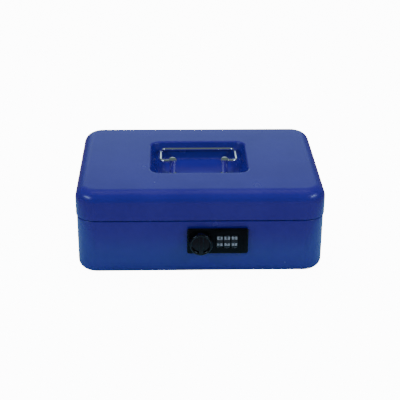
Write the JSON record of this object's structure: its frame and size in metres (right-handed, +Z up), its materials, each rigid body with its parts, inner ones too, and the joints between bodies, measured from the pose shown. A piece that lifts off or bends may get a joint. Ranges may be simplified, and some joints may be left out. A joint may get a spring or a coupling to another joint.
{
  "type": "cash box",
  "caption": "Pressed steel cash box with a hinged lid, a folding handle in a sunk well, a combination lock with a turning knob and a lift-out coin tray.",
  "frame": {"origin": "centre of the base's underside, on the surface that the box stands on", "axes": "+X to the right as seen from the front, along the width; +Y to the back, so the lock faces -Y; +Z up"},
  "size_m": [0.25, 0.196, 0.09],
  "materials": {
    "paint": "semi-gloss blue enamel",
    "chrome": "bright plating",
    "steel": "zinc plated",
    "lock_black": "satin black",
    "dial_plastic": "black with light tiles",
    "tray_plastic": "fine grained black"
  },
  "bodies": {
    "base": {"base_shell": "paint", "lock_plate": "lock_black", "lock_housing": "lock_black", "lock_cover": "lock_black", "lock_screws": "steel", "dial_axle": "steel", "detent_spring": "steel", "left_base_leaf": "paint", "right_base_leaf": "paint", "left_hinge_pin": "steel", "right_hinge_pin": "steel", "left_base_rivets": "steel", "right_base_rivets": "steel"},
    "lid": {"lid_shell": "paint", "post_left": "chrome", "post_right": "chrome", "post_washers": "steel", "left_lid_leaf": "paint", "right_lid_leaf": "paint", "catch_hook": "steel", "left_lid_rivets": "steel", "right_lid_rivets": "steel"},
    "handle": {"handle": "chrome"},
    "knob": {"knob": "lock_black", "knob_spindle": "steel", "latch_cam": "steel", "cam_nut": "steel"},
    "dial_1": {"dial_1": "dial_plastic"},
    "dial_2": {"dial_2": "dial_plastic"},
    "dial_3": {"dial_3": "dial_plastic"},
    "tray": {"coin_tray": "tray_plastic"}
  },
  "joints": [
    {"name": "lid_hinge", "type": "hinge", "parent": "base", "child": "lid", "pos_m": [0, 0.09255, 0.0595], "axis": [-1, 0, 0], "range_deg": [0, 100]},
    {"name": "handle_pivot", "type": "hinge", "parent": "lid", "child": "handle", "pos_m": [0, 0, 0.086], "axis": [1, 0, 0], "range_deg": [0, 175]},
    {"name": "knob_turn", "type": "hinge", "parent": "base", "child": "knob", "pos_m": [0, -0.0937, 0.0383], "axis": [0, -1, 0], "range_deg": [0, 90]},
    {"name": "dial_1_turn", "type": "hinge", "parent": "base", "child": "dial_1", "pos_m": [0.0188, -0.0845, 0.0383], "axis": [1, 0, 0], "continuous": true},
    {"name": "dial_2_turn", "type": "hinge", "parent": "base", "child": "dial_2", "pos_m": [0.0261, -0.0845, 0.0383], "axis": [1, 0, 0], "continuous": true},
    {"name": "dial_3_turn", "type": "hinge", "parent": "base", "child": "dial_3", "pos_m": [0.0334, -0.0845, 0.0383], "axis": [1, 0, 0], "continuous": true},
    {"name": "tray_lift", "type": "slide", "parent": "base", "child": "tray", "axis": [0, 0, 1], "range_m": [0, 0.003]}
  ]
}
